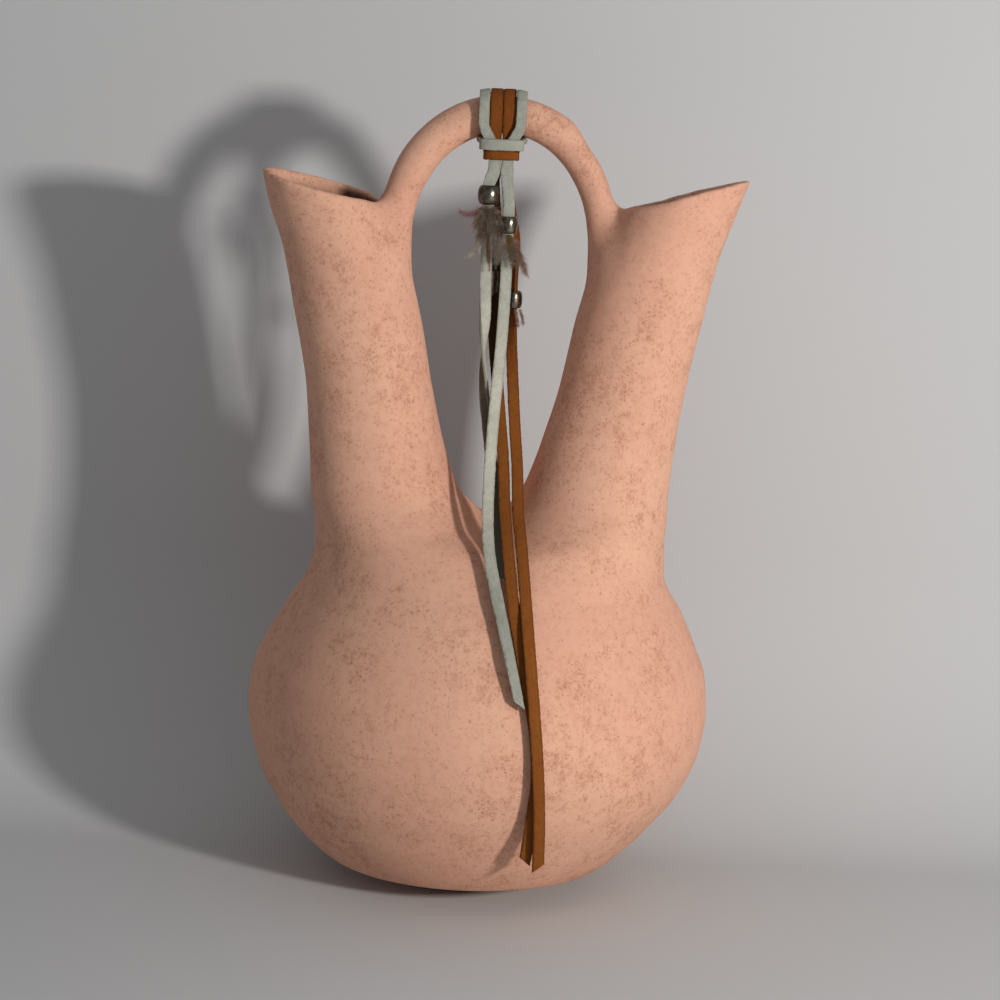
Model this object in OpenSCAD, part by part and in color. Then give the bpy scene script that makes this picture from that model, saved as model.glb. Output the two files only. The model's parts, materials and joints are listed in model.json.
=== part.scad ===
// Double spout vase with a stirrup handle, and two suede laces hitched over the handle.
// Millimetres, +Z up, origin under the middle of the base, front towards -Y.

/* [Bowl] */
// Widest diameter of the bowl
belly_d = 178; // [160:1:200]
// Height of the widest part above the base
belly_z = 70; // [60:1:80]
// Diameter of the flat base
base_d = 78; // [50:1:90]
// Diameter of the shoulder, where the spouts are joined on
shoulder_d = 139; // [132:1:148]
// Height of the shoulder joint
shoulder_z = 118; // [112:1:124]
// Thickness of the clay wall
wall = 5; // [3.5:0.25:7]
// Thickness of the floor
floor_t = 6; // [4:0.5:10]

/* [Spouts] */
// Width across both spouts just above the shoulder
waist_w = 135; // [128:1:142]
// Depth of the pair of spouts at the crotch, front to back
crotch_depth = 87; // [76:1:96]
// Height of the crotch between the spouts
crotch_z = 141; // [136:1:148]
// Height of the slimmest part of the necks
neck_z = 194; // [180:1:210]
// Width of a neck at its slimmest
neck_w = 48; // [40:1:54]
// Distance of a neck from the middle plane
neck_x = 48.5; // [45:0.5:54]
// Height of the middle of a mouth
mouth_z = 267.6; // [250:0.2:285]
// Width of a mouth over its lip
mouth_w = 49; // [40:1:56]
// Distance of a mouth from the middle plane
mouth_x = 68.5; // [62:0.5:74]
// Slope of the mouths, rising outwards, in degrees
mouth_slope = 12.5; // [0:0.5:20]
// Thickness of the lip
lip = 4.2; // [3:0.2:6]
// How far the front of the left lip hangs below its middle
left_lip_dip = 1; // [-2:0.2:3]
// How far the front of the right lip hangs below its middle
right_lip_dip = -1.2; // [-2:0.2:3]
// How much lower the left mouth stands than the right one
left_drop = 1; // [-2:0.2:3]
// How far the spouts stand to the right of the bowl's middle
spout_shift = 1.8; // [-3:0.2:3]
// Height of the open arch under the web that joins the spouts
web_arch = 14; // [6:0.5:16]

/* [Handle] */
// Diameter of the handle
handle_d = 14.5; // [12:0.5:18]
// Rise of the handle's top over the middle of the mouths
handle_rise = 35.4; // [30:0.2:44]
// How far a handle leg stands in from the inner edge of its mouth
handle_seat = 4.5; // [3:0.25:6]
// How far the handle stands to the right of the bowl's middle
handle_shift = 1.2; // [-3:0.2:3]

/* [Laces] */
// Width of a lace
lace_w = 4.2; // [3:0.1:4.6]
// Thickness of a lace
lace_t = 1.6; // [1.2:0.1:1.8]
// Clearance between neighbouring laces in the hitch
lace_gap = 0.4; // [0.4:0.05:0.6]
// Clearance between the hitch and the handle
hitch_clearance = 0.7; // [0.6:0.05:1]
// Place of the hitch along the handle, from the bowl's middle
hitch_x = 0.6; // [-2:0.2:3]
// Length of the slanted cut at the lace ends
lace_cut = 3.5; // [0:0.5:6]

/* [Beads] */
// Diameter of the large bead, on the left sage tail
bead_d = 8.3; // [7.8:0.1:8.6]
// Length of the large bead
bead_h = 7.2; // [5:0.2:8]
// Diameter of the three small beads
small_bead_d = 7; // [6.8:0.1:7.6]
// Length of a small bead
small_bead_h = 6.4; // [5:0.2:7]
// Clearance between a lace and a bead's bore
bead_clearance = 0.3; // [0.2:0.05:0.5]
// Width of a feather plume
plume_w = 2.2; // [1:0.2:3]

/* [Hidden] */

clay = [0.85, 0.63, 0.52];
sage = [0.68, 0.71, 0.65];
rust = [0.52, 0.26, 0.10];
pewter = [0.38, 0.36, 0.31];
feather = [0.70, 0.58, 0.47];

spout_sides = 40;
handle_sides = 20;
plume_t = 0.7;
root_gap = 0.3;

// Helpers for curves
function lerp(a, b, k) = a + (b - a) * k;
function unit(v) = v / norm(v);
function clamp01(k) = min(1, max(0, k));
function ease(k) = let (c = clamp01(k)) c * c * (3 - 2 * c);
function pick(list, i) = list[min(len(list) - 1, max(0, i))];
function spline(a, b, c, d, k) =
    0.5 * (2 * b + (c - a) * k + (2 * a - 5 * b + 4 * c - d) * k * k
    + (3 * b - a - 3 * c + d) * k * k * k);
function smooth_run(list, steps) = [
    for (i = [0 : len(list) - 2], k = [0 : steps - 1])
        spline(pick(list, i - 1), list[i], list[i + 1], pick(list, i + 2), k / steps),
    list[len(list) - 1]
];
function backwards(list) = [for (i = [len(list) - 1 : -1 : 0]) list[i]];

// Triangles between rings of points, open with two caps or closed on itself
function quad(a, b, c, d, flip) = flip ? [[a, c, d], [a, b, c]] : [[a, d, c], [a, c, b]];
function ring_faces(rings, sides, closed, flip) = [
    for (i = [0 : rings - (closed ? 1 : 2)], j = [0 : sides - 1])
        let (n = (i + 1) % rings, k = (j + 1) % sides)
            each quad(i * sides + j, i * sides + k, n * sides + k, n * sides + j, flip)
];
function cap_faces(first, sides, flip) = [
    for (j = [1 : sides - 2])
        flip ? [first, first + j + 1, first + j] : [first, first + j, first + j + 1]
];

module skin(rings, closed = false, flip = false) {
    sides = len(rings[0]);
    last = (len(rings) - 1) * sides;
    polyhedron(
        points = [for (ring = rings) each ring],
        faces = concat(
            ring_faces(len(rings), sides, closed, flip),
            closed ? [] : cap_faces(0, sides, flip),
            closed ? [] : cap_faces(last, sides, !flip)
        )
    );
}

// Bowl: two half ellipses that meet at the widest part
belly_r = belly_d / 2;
lower_half = belly_z / sqrt(1 - pow(base_d / belly_d, 2));
upper_half = (shoulder_z - belly_z) / sqrt(1 - pow(shoulder_d / belly_d, 2));
function half_height(z) = z < belly_z ? lower_half : upper_half;
function oval(z, inset) =
    (belly_r - inset)
    * sqrt(max(0, 1 - pow((z - belly_z) / (half_height(z) - inset), 2)));

bowl_steps = 24;
function bowl_profile(low, inset) = [
    for (i = [0 : bowl_steps]) let (z = lerp(low, shoulder_z, i / bowl_steps)) [oval(z, inset), z]
];

module bowl() {
    color(clay)
        rotate_extrude($fn = 120)
            polygon(concat(
                [[0, 0]],
                bowl_profile(0, 0),
                backwards(bowl_profile(floor_t, wall)),
                [[0, floor_t]]
            ));
}

// Spout stations: height, inner edge, outer edge and half depth.
// The shapes below give height shares, and shares of the change in place and girth.
shoulder_shape = [[0.5, 0.7, 0], [0.78, 0.4, 0.5], [0.91, 0.15, 0.79]];
rise_shape = [[0, 0, 0], [0.075, 0.18, 0.21], [0.15, 0.34, 0.41], [0.28, 0.5, 0.61], [0.57, 0.72, 0.83]];
flare_shape = [[0, 0, 0], [0.33, 0.23, 0.3], [0.63, 0.47, 0.6], [0.84, 0.77, 0.8], [1, 1, 1]];
swell_z = lerp(shoulder_z, crotch_z, 0.46);

function station(z, x, w, depth) = [z, x - w / 2, x + w / 2, depth / 2];
stations = concat(
    [station(shoulder_z, 0, shoulder_d, shoulder_d)],
    [for (s = shoulder_shape)
        station(
            lerp(shoulder_z, crotch_z, s[0]),
            waist_w / 4 * (1 - s[1]),
            waist_w / 2 * (1 + s[1]),
            lerp(2 * oval(swell_z, 0), crotch_depth, s[2])
        )],
    [for (s = rise_shape)
        station(
            lerp(crotch_z, neck_z, s[0]),
            lerp(waist_w / 4, neck_x, s[1]),
            lerp(waist_w / 2, neck_w, s[2]),
            lerp(crotch_depth, neck_w, s[2])
        )],
    [for (s = flare_shape)
        station(
            lerp(neck_z, mouth_z, s[0]),
            lerp(neck_x, mouth_x, s[1]),
            lerp(neck_w, mouth_w, s[2]),
            lerp(neck_w, mouth_w, s[2])
        )]
);
mouth_station = stations[len(stations) - 1];
first_free = len(shoulder_shape) + 2;

// Wall measured square to the slope of each edge
max_slope = 3;
function slope(i, k) =
    (pick(stations, i + 1)[k] - pick(stations, i - 1)[k])
    / (pick(stations, i + 1)[0] - pick(stations, i - 1)[0]);
function level_wall(i, k) = wall * sqrt(1 + pow(min(max_slope, abs(slope(i, k))), 2));
function inner_station(i) =
    let (s = stations[i], foot = oval(shoulder_z, wall))
        i == 0
            ? [s[0], -foot, foot, foot]
            : [s[0], s[1] + level_wall(i, 1), s[2] - level_wall(i, 2), s[3] - level_wall(i, 3)];
function inset_station(s, d, dz) = [s[0] + dz, s[1] + d, s[2] - d, s[3] - d];

// Points of one level of a spout. Below the crotch the ring is cut flat at the web.
// The lip hangs by its dip at the front and by the drop of the whole mouth.
tilt_z = lerp(neck_z, mouth_z, 0.15);
function spout_ring(s, flat_x, side, hang) = [
    let (
        x = (s[1] + s[2]) / 2,
        r = (s[2] - s[1]) / 2,
        reach = s[3] * sqrt(max(0.0001, 1 - pow(min(1, (x - flat_x) / r), 2))),
        share = clamp01((s[0] - shoulder_z) / (crotch_z - shoulder_z)),
        tilt = ease((s[0] - tilt_z) / (mouth_z - tilt_z))
    )
    for (j = [0 : spout_sides - 1])
        let (
            a = 360 * j / spout_sides,
            px = max(flat_x, x + r * cos(a)),
            py = s[3] * sin(a),
            on_web = x + r * cos(a) < flat_x,
            arch = on_web ? web_arch * (1 - share) * max(0, 1 - pow(py / reach, 2)) : 0,
            pz = s[0] + arch + tilt * (tan(mouth_slope) * (px - x) + hang[0] * py / s[3] - hang[1])
        )
            [side * px + spout_shift * ease(share), py, pz]
];

web_half = wall / 2;
lip_shape = [[0.07, 0.06], [0.5, 0.1], [0.93, 0.06]];
outer_run = smooth_run(stations, 2);
inner_run = concat(
    [for (i = [0 : len(stations) - 2]) inner_station(i)],
    [inset_station(mouth_station, lip, 0)]
);

function outer_rings(side, hang) = concat(
    [for (s = outer_run) spout_ring(s, 0, side, hang)],
    [for (l = lip_shape)
        spout_ring(inset_station(mouth_station, l[0] * lip, l[1] * lip), 0, side, hang)]
);
function inner_rings(side, hang) = [
    for (s = backwards(inner_run)) spout_ring(s, web_half, side, hang)
];

module spout(side, hang) {
    color(clay)
        skin(concat(outer_rings(side, hang), inner_rings(side, hang)), closed = true, flip = side < 0);
}

// Solid neck and mouth, to trim the handle's foot to the spout
module spout_envelope(side, hang) {
    rings = outer_rings(side, hang);
    top = len(rings) - 2;
    skin([for (i = [2 * first_free : top]) rings[i]], flip = side < 0);
}

left_hang = [left_lip_dip, left_drop];
right_hang = [right_lip_dip, 0];
module left_spout() spout(-1, left_hang);
module right_spout() spout(1, right_hang);

// Handle: half an oval on two legs that run down into the spouts' inner sides
handle_r = handle_d / 2;
handle_axis_z = mouth_z + handle_rise - handle_r;
leg_x = mouth_x - mouth_w / 2 - handle_seat;
spring_z = mouth_z - 17;
foot_drop = 20;
foot_lean = 1.5;
arch_steps = 24;
handle_path = concat(
    [[-leg_x - foot_lean, spring_z - foot_drop], [-leg_x - foot_lean / 4, spring_z - foot_drop / 2]],
    [for (i = [0 : arch_steps])
        let (a = 180 - 180 * i / arch_steps)
            [leg_x * cos(a), spring_z + (handle_axis_z - spring_z) * sin(a)]],
    [[leg_x + foot_lean / 4, spring_z - foot_drop / 2], [leg_x + foot_lean, spring_z - foot_drop]]
);
function handle_ring(i) =
    let (
        p = handle_path[i],
        t = unit(pick(handle_path, i + 1) - pick(handle_path, i - 1))
    )
        [for (j = [0 : handle_sides - 1])
            let (a = 360 * j / handle_sides)
                [
                    handle_shift + p[0] - t[1] * handle_r * cos(a),
                    handle_r * sin(a),
                    p[1] + t[0] * handle_r * cos(a)
                ]];

module stirrup_handle() {
    color(clay)
        difference() {
            skin([for (i = [0 : len(handle_path) - 1]) handle_ring(i)], flip = true);
            spout_envelope(-1, left_hang);
            spout_envelope(1, right_hang);
        }
}

// Flat lace: an eight-sided section with bevelled edges, swept along points with face normals
bevel = 0.4;
section = [
    [0.5, 0.5 - bevel / lace_t], [0.5 - bevel / lace_w, 0.5],
    [bevel / lace_w - 0.5, 0.5], [-0.5, 0.5 - bevel / lace_t],
    [-0.5, bevel / lace_t - 0.5], [bevel / lace_w - 0.5, -0.5],
    [0.5 - bevel / lace_w, -0.5], [0.5, bevel / lace_t - 0.5]
];
function tangent(points, i) = unit(pick(points, i + 1) - pick(points, i - 1));
function square_to(t, n) = unit(n - (n * t) * t);
function strip_ring(p, t, n, w, h, slant) =
    let (face = square_to(t, n), across = cross(face, t))
        [for (s = section) p + across * (s[0] * w) + face * (s[1] * h) + t * (slant * s[0])];
function strip_rings(points, normals, widths, heights, slant) = [
    for (i = [0 : len(points) - 1])
        strip_ring(
            points[i], tangent(points, i), normals[i], widths[i], heights[i],
            i == len(points) - 1 ? slant : 0
        )
];

// The hitch: each lace is doubled over the handle and its ends pass through its own bight.
// Keys are place and face, from the handle's axis, for the right half of a lace.
layer = lace_t + lace_gap;
wrap_r = handle_r + hitch_clearance + lace_t / 2;
end_x = lace_w / 2 + 0.75 * lace_gap;
band_x = end_x + lace_w + 0.9 * lace_gap;
rust_y = 1.2 - wrap_r;
sage_y = rust_y - layer - lace_gap / 2;
bar_y = sage_y - layer - lace_gap;
sage_bar_z = -handle_r - 3.6;
rust_bar_z = sage_bar_z - lace_w - lace_gap;
exit_z = rust_bar_z - lace_w / 2 - 2;
side_x = end_x + lace_w / 2 + lace_gap + lace_t / 2 + 0.1;
sage_side_x = side_x + 1.5;
under_z = -handle_r - hitch_clearance - lace_t / 2;

rust_half = concat(
    [
        [end_x, rust_y, exit_z, 0, -1, 0],
        [end_x, rust_y, exit_z + 1, 0, -1, 0],
        [end_x, rust_y, rust_bar_z, 0, -1, 0],
        [end_x, rust_y - 0.2, sage_bar_z + 1, 0, -1, 0],
        [end_x, 0.4 - wrap_r, -0.6 * handle_r, 0, -1, 0]
    ],
    [for (a = [-90 : 30 : 120]) [end_x, wrap_r * sin(a), wrap_r * cos(a), 0, sin(a), cos(a)]],
    [
        [end_x + 0.1, 0.6 * wrap_r, under_z + 0.2, 0, 0.5, -0.86],
        [end_x + 0.9, 1, under_z - 2 * layer, 0.15, 0.25, -0.96],
        [side_x - 0.6, rust_y + 4, rust_bar_z + 0.85, 0.75, 0, -0.66],
        [side_x, rust_y, rust_bar_z, 1, 0, 0],
        [side_x - 0.2, sage_y - 1.1, rust_bar_z, 0.8, -0.6, 0],
        [side_x - 2.4, bar_y + 0.2, rust_bar_z, 0.2, -0.98, 0],
        [0, bar_y, rust_bar_z, 0, -1, 0]
    ]
);
sage_half = [
    [end_x, sage_y, exit_z, 0, -1, 0],
    [end_x, sage_y, exit_z + 1, 0, -1, 0],
    [end_x, sage_y, rust_bar_z, 0, -1, 0],
    [end_x + 0.2, sage_y - 0.1, rust_bar_z + 2.5, 0, -1, 0],
    [end_x + 1.5, sage_y - 0.3, sage_bar_z + 1.8, 0, -1, 0],
    [end_x + 3.6, -wrap_r - 0.95 * layer, -0.6 * handle_r, 0, -1, 0],
    [band_x - 0.1, -wrap_r - 0.75 * layer, 0.5, 0, -1, 0.05],
    [band_x, -0.87 * (wrap_r + 1.3), 0.5 * (wrap_r + 1.3), 0.05, -0.87, 0.5],
    [band_x, -0.5 * (wrap_r + 0.6), 0.87 * (wrap_r + 0.5), 0.15, -0.5, 0.86],
    [band_x, 0, wrap_r - 0.5, 0.2, 0, 0.98],
    [band_x, 0.5 * wrap_r, 0.87 * wrap_r - 0.4, 0.15, 0.5, 0.86],
    [band_x, 0.89 * wrap_r, 0.5 * wrap_r - 0.2, 0.08, 0.87, 0.5],
    [band_x, wrap_r + 0.5, -0.5, 0, 1, 0],
    [band_x, 0.91 * wrap_r, -0.6 * wrap_r, 0, 0.87, -0.5],
    [band_x + 0.2, 0.6 * wrap_r, under_z + 0.1, 0.1, 0.45, -0.89],
    [band_x + 0.3, 0.8, under_z - 1.8, 0.3, 0.1, -0.95],
    [sage_side_x + 0.5, rust_y + 4, sage_bar_z + 0.65, 0.75, 0, -0.66],
    [sage_side_x, rust_y, sage_bar_z, 1, 0, 0],
    [sage_side_x - 0.3, sage_y - 1.1, sage_bar_z, 0.8, -0.6, 0],
    [sage_side_x - 2.5, bar_y + 0.2, sage_bar_z, 0.2, -0.98, 0],
    [0, bar_y, sage_bar_z, 0, -1, 0]
];

function mirrored(k) = [-k[0], k[1], k[2], -k[3], k[4], k[5]];
function whole_hitch(half) = concat(
    [for (k = half) mirrored(k)],
    [for (i = [len(half) - 2 : -1 : 0]) half[i]]
);
hitch_origin = [hitch_x, 0, handle_axis_z];
hitch_steps = 2;
function place_of(k) = hitch_origin + [k[0], k[1], k[2]];
function face_of(k) = [k[3], k[4], k[5]];
function hitch_rings(half) =
    let (run = smooth_run(whole_hitch(half), hitch_steps))
        strip_rings(
            [for (k = run) place_of(k)], [for (k = run) face_of(k)],
            [for (k = run) lace_w], [for (k = run) lace_t], 0
        );

// Least gap of a lace to itself, between rings that are well apart along it
function least_gap(rings, apart) = min([
    for (i = [0 : len(rings) - 1 - apart], j = [i + apart : len(rings) - 1], a = rings[i], b = rings[j])
        norm(a - b)
]);
rings_apart = 12;

module hitch(half, name) {
    rings = hitch_rings(half);
    echo(str(name, " least gap to itself"), least_gap(rings, rings_apart));
    skin(rings);
}

module sage_hitch() color(sage) hitch(sage_half, "sage_hitch");
module rust_hitch() color(rust) hitch(rust_half, "rust_hitch");

// Tails: routes of x, y, z and the turn of the face, from the hitch down to the cut end
sage_left_route = [
    [-1.8, -9.75, 275, 0], [-2.6, -10.5, 272.6, 0], [-3.4, -11.2, 270, 0], [-3.4, -11.2, 266, 0],
    [-3.4, -11.2, 254, 0], [-3.4, -10.8, 243, 0], [-3.3, -10.3, 232, 0], [-3, -9.8, 221, -25],
    [-3.2, -9.4, 211, -70], [-3, -9.3, 201, -110], [-2, -9.6, 190, -140], [-0.4, -11, 179.5, -165],
    [1.2, -14.4, 169, -180], [3, -21.2, 159.5, -180], [4.6, -31, 150.8, -180], [5.6, -42, 143, -180],
    [6.4, -52, 136.4, -180], [7, -60.4, 130.2, -180]
];
sage_right_route = [
    [3, -9.75, 274, 0], [3.4, -10.2, 270, 0], [4, -10.8, 265.5, 0], [4.3, -11.2, 261, 0],
    [4.3, -11.2, 255.2, 0], [4.3, -11.2, 246, 0], [4.2, -10.8, 234, 0], [3.9, -10.8, 221, 0],
    [3.4, -11.2, 208, 0], [2.6, -12.6, 196, 0], [1.7, -16.2, 180, 0], [1.2, -22.6, 167, 0],
    [1.1, -30, 157.4, 0], [1.2, -38, 150, 0], [1.6, -46, 143.8, 0], [2.6, -54.8, 137.2, 0],
    [4.4, -63.2, 130, 0], [6.6, -70.8, 122.4, 0], [9.2, -77.8, 113.4, 0], [12.2, -84, 102.6, -5],
    [15.4, -87.7, 90, -8]
];
rust_left_route = [
    [-1.8, -7.55, 274, 0], [-1.8, -6.8, 271, 0], [-1.6, -6, 268, 0], [-1.2, -5.5, 263, 0],
    [-0.5, -5.2, 257, 0], [0.2, -5, 250, 0], [0.2, -5, 241, 0], [0.2, -5, 231, 0],
    [0.3, -5.2, 219, 0], [1.2, -5.9, 207, 0], [2.8, -8, 194, 0], [4.4, -11.8, 181, 0],
    [5.7, -16, 171, 0], [6.6, -23.2, 161.5, 0], [7.2, -33, 153.2, 0], [8.2, -43.6, 146, 0],
    [9.6, -57, 136.6, 0], [12, -71, 122.4, 0], [15.2, -78.8, 107.8, -5], [19, -85.2, 92, -8],
    [21.8, -87.4, 77, -10], [22.8, -87.6, 63, -10], [21.6, -86, 48, -6], [19.9, -82.4, 31.2, 0]
];
rust_right_route = [
    [3, -7.55, 274, 0], [3.2, -6.8, 271, 0], [3.7, -6, 267, 0], [4.9, -5.3, 260, 0],
    [6.6, -4.8, 251, 10], [7.2, -4.6, 244, 40], [7.3, -4.6, 238, 60], [7.3, -4.6, 226.8, 60],
    [7.3, -4.6, 215, 45], [7.7, -5.4, 206, 25], [8.8, -8.4, 192, 5], [10.2, -14, 177, 0],
    [11.4, -20.4, 166, 0], [12, -28.6, 157, 0], [12.6, -38.6, 149.6, 0], [13.9, -50.6, 141.8, 0],
    [15.4, -63.6, 131, -5], [17.2, -77, 116.8, -6], [18.8, -83.6, 104, -8], [20.4, -87.6, 91, -10],
    [22, -89.6, 77, -10], [23.4, -90, 62, -10], [24.3, -88.6, 47, -8], [24.7, -85, 29.8, -6]
];

function tail_start(side, y) = [[hitch_x + side * end_x, y, handle_axis_z + exit_z, 0]];
function place(k) = [k[0], k[1], k[2]];
function turned_face(t, turn) =
    let (front = square_to(t, [0, -1, 0]))
        front * cos(turn) + cross(t, front) * sin(turn);

module tail(start, route, slant) {
    keys = concat(start, route);
    points = [for (k = keys) place(k)];
    skin(strip_rings(
        points,
        [for (i = [0 : len(keys) - 1]) turned_face(tangent(points, i), keys[i][3])],
        [for (k = keys) lace_w], [for (k = keys) lace_t], slant
    ));
}

module sage_left_tail() color(sage) tail(tail_start(-1, sage_y), sage_left_route, -lace_cut);
module sage_right_tail() color(sage) tail(tail_start(1, sage_y), sage_right_route, lace_cut);
module rust_left_tail() color(rust) tail(tail_start(-1, rust_y), rust_left_route, lace_cut);
module rust_right_tail() color(rust) tail(tail_start(1, rust_y), rust_right_route, -lace_cut);

// Beads: barrels on the straight stretches of the tails
bore_r = norm([lace_w, lace_t]) / 2 + bead_clearance;
bead_rim = 0.15;
bead_steps = 12;

sage_left_seat = place(sage_left_route[3]);
sage_right_seat = place(sage_right_route[4]);
rust_left_seat = place(rust_left_route[6]);
rust_right_seat = place(rust_right_route[7]);

module bead(seat, d, h) {
    rim_r = bore_r + bead_rim;
    color(pewter)
        translate(seat)
            rotate_extrude($fn = 64)
                polygon(concat(
                    [[bore_r, -h / 2]],
                    [for (i = [0 : bead_steps])
                        let (a = -90 + 180 * i / bead_steps)
                            [rim_r + (d / 2 - rim_r) * cos(a), h / 2 * sin(a)]],
                    [[bore_r, h / 2]]
                ));
}

module sage_left_bead() bead(sage_left_seat, bead_d, bead_h);
module sage_right_bead() bead(sage_right_seat, small_bead_d, small_bead_h);
module rust_left_bead() bead(rust_left_seat, small_bead_d, small_bead_h);
module rust_right_bead() bead(rust_right_seat, small_bead_d, small_bead_h);

// Tufts: plumes from under a bead's rim, each by its root, middle and tip below the bead
plume_girth = [0.35, 0.8, 1, 0.75, 0.25];
sage_left_plumes = [
    [[-2.2, -1.8, -0.4], [-5.6, -3.9, -1.6], [-10.6, -4.9, -3.4]],
    [[-1, -2.8, 0], [-2.2, -4.2, -8], [-4.1, -4.2, -18]],
    [[0.8, -2.8, 0], [1, -4, -9], [1.2, -3.6, -17.5]]
];
sage_right_plumes = [
    [[2.1, -2, 0], [4.2, -3.4, -5.3], [7.9, -4, -14]],
    [[0.5, -2.8, 0], [1.7, -4, -6.3], [3.9, -4.2, -13.5]],
    [[-1.3, -2.6, 0], [-2.1, -3.8, -5.3], [-3.3, -3.6, -10.5]]
];
rust_left_plumes = [
    [[-1.2, -2.4, 0], [-1.6, -2.6, -3.6], [-1.8, -2.6, -7.6]],
    [[1.2, -2.4, 0], [1.4, -2.6, -4], [1, -2.6, -7]]
];
rust_right_plumes = [
    [[1, -2.7, 0], [1.9, -3.3, -3.4], [2.3, -3.3, -6.4]],
    [[2.7, -1, 0], [3.8, -1.4, -3], [4.4, -1.4, -6]]
];

module plume(root, keys) {
    points = smooth_run([for (k = keys) root + k], 2);
    skin(strip_rings(
        points, [for (p = points) [0, -1, 0]],
        [for (g = plume_girth) g * plume_w], [for (g = plume_girth) plume_t], 0
    ));
}

module tuft(seat, h, plumes) {
    root = seat - [0, 0, h / 2 + root_gap];
    color(feather)
        for (keys = plumes)
            plume(root, keys);
}

module sage_left_tuft() tuft(sage_left_seat, bead_h, sage_left_plumes);
module sage_right_tuft() tuft(sage_right_seat, small_bead_h, sage_right_plumes);
module rust_left_tuft() tuft(rust_left_seat, small_bead_h, rust_left_plumes);
module rust_right_tuft() tuft(rust_right_seat, small_bead_h, rust_right_plumes);

bowl();
left_spout();
right_spout();
stirrup_handle();
sage_hitch();
rust_hitch();
sage_left_tail();
sage_right_tail();
rust_left_tail();
rust_right_tail();
sage_left_bead();
sage_right_bead();
rust_left_bead();
rust_right_bead();
sage_left_tuft();
sage_right_tuft();
rust_left_tuft();
rust_right_tuft();
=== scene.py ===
import json
import math
import random
import bpy
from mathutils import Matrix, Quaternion, Vector, noise

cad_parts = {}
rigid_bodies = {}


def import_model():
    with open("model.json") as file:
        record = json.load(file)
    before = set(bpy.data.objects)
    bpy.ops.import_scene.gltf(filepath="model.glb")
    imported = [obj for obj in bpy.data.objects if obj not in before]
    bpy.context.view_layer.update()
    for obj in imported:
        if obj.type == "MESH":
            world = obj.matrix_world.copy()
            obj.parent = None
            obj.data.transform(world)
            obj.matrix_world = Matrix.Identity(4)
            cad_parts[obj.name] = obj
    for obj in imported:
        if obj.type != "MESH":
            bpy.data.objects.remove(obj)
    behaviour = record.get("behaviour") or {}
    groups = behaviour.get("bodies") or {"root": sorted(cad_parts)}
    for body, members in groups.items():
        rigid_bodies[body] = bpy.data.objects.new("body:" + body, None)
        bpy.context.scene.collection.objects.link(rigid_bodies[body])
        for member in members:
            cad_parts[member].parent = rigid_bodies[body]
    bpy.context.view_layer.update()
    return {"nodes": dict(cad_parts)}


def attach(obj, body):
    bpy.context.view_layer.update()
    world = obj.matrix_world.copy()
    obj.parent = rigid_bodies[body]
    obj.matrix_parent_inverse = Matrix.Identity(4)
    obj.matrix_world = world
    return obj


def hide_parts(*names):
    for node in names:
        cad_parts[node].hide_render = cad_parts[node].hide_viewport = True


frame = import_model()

mm = 0.001
print("frame loaded")


# small helpers

def deselectAll():
    bpy.ops.object.select_all(action="DESELECT")


def pickOnly(obj):
    deselectAll()
    obj.select_set(True)
    bpy.context.view_layer.objects.active = obj


def meshPiece(name, points, faces):
    mesh = bpy.data.meshes.new(name)
    mesh.from_pydata(points, [], faces)
    mesh.update()
    obj = bpy.data.objects.new(name, mesh)
    bpy.context.collection.objects.link(obj)
    return obj


def closeNormals(obj):
    pickOnly(obj)
    bpy.ops.object.mode_set(mode="EDIT")
    bpy.ops.mesh.select_all(action="SELECT")
    bpy.ops.mesh.normals_make_consistent(inside=False)
    bpy.ops.object.mode_set(mode="OBJECT")


def smoothShade(obj, angle=40):
    pickOnly(obj)
    bpy.ops.object.shade_smooth_by_angle(angle=math.radians(angle))


def dress(obj, material, slot, body, *nodes):
    obj.data.materials.clear()
    obj.data.materials.append(material)
    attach(obj, body)
    if nodes:
        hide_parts(*nodes)


def smoothRun(keys, gap):
    # smooth curve through keys, sampled about every gap along it
    spans = [max(1e-6, math.dist(a[:3], b[:3])) for a, b in zip(keys, keys[1:])]
    rates = [[(q - p) / s for p, q in zip(a, b)] for a, b, s in zip(keys, keys[1:], spans)]
    slopes = [rates[0]]
    for i in range(1, len(spans)):
        before, after = spans[i - 1], spans[i]
        pairs = zip(rates[i - 1], rates[i])
        slopes.append([(p * after + q * before) / (before + after) for p, q in pairs])
    slopes.append(rates[-1])
    run = []
    for i, span in enumerate(spans):
        count = max(1, round(span / gap))
        for k in range(count):
            t = k / count
            weights = (2 * t**3 - 3 * t**2 + 1, t**3 - 2 * t**2 + t, 3 * t**2 - 2 * t**3, t**3 - t**2)
            run.append([
                weights[0] * a + weights[1] * span * m + weights[2] * b + weights[3] * span * n
                for a, m, b, n in zip(keys[i], slopes[i], keys[i + 1], slopes[i + 1])
            ])
    run.append(list(keys[-1]))
    return run


def tangentAt(points, i):
    return (points[min(i + 1, len(points) - 1)] - points[max(i - 1, 0)]).normalized()


def squareTo(tangent, face):
    return (face - tangent * face.dot(tangent)).normalized()


# camera

cameraSet = {
    "distance": 1.0, "elevation": 9.5, "roll": 2.4, "target": (0.0055, 0.0, 0.149),
    "lens": 93.6, "sensor": 36, "nearest": 0.01,
}


def addCamera():
    tilt = math.radians(cameraSet["elevation"])
    target = Vector(cameraSet["target"])
    place = target + cameraSet["distance"] * Vector((0, -math.cos(tilt), math.sin(tilt)))
    deselectAll()
    bpy.ops.object.camera_add(location=place)
    camera = bpy.context.object
    aim = (target - place).to_track_quat("-Z", "Y")
    roll = Quaternion((0, 0, 1), math.radians(cameraSet["roll"]))
    camera.rotation_euler = (aim @ roll).to_euler()
    camera.data.sensor_width = cameraSet["sensor"]
    camera.data.lens = cameraSet["lens"]
    camera.data.clip_start = cameraSet["nearest"]
    bpy.context.scene.camera = camera


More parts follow.
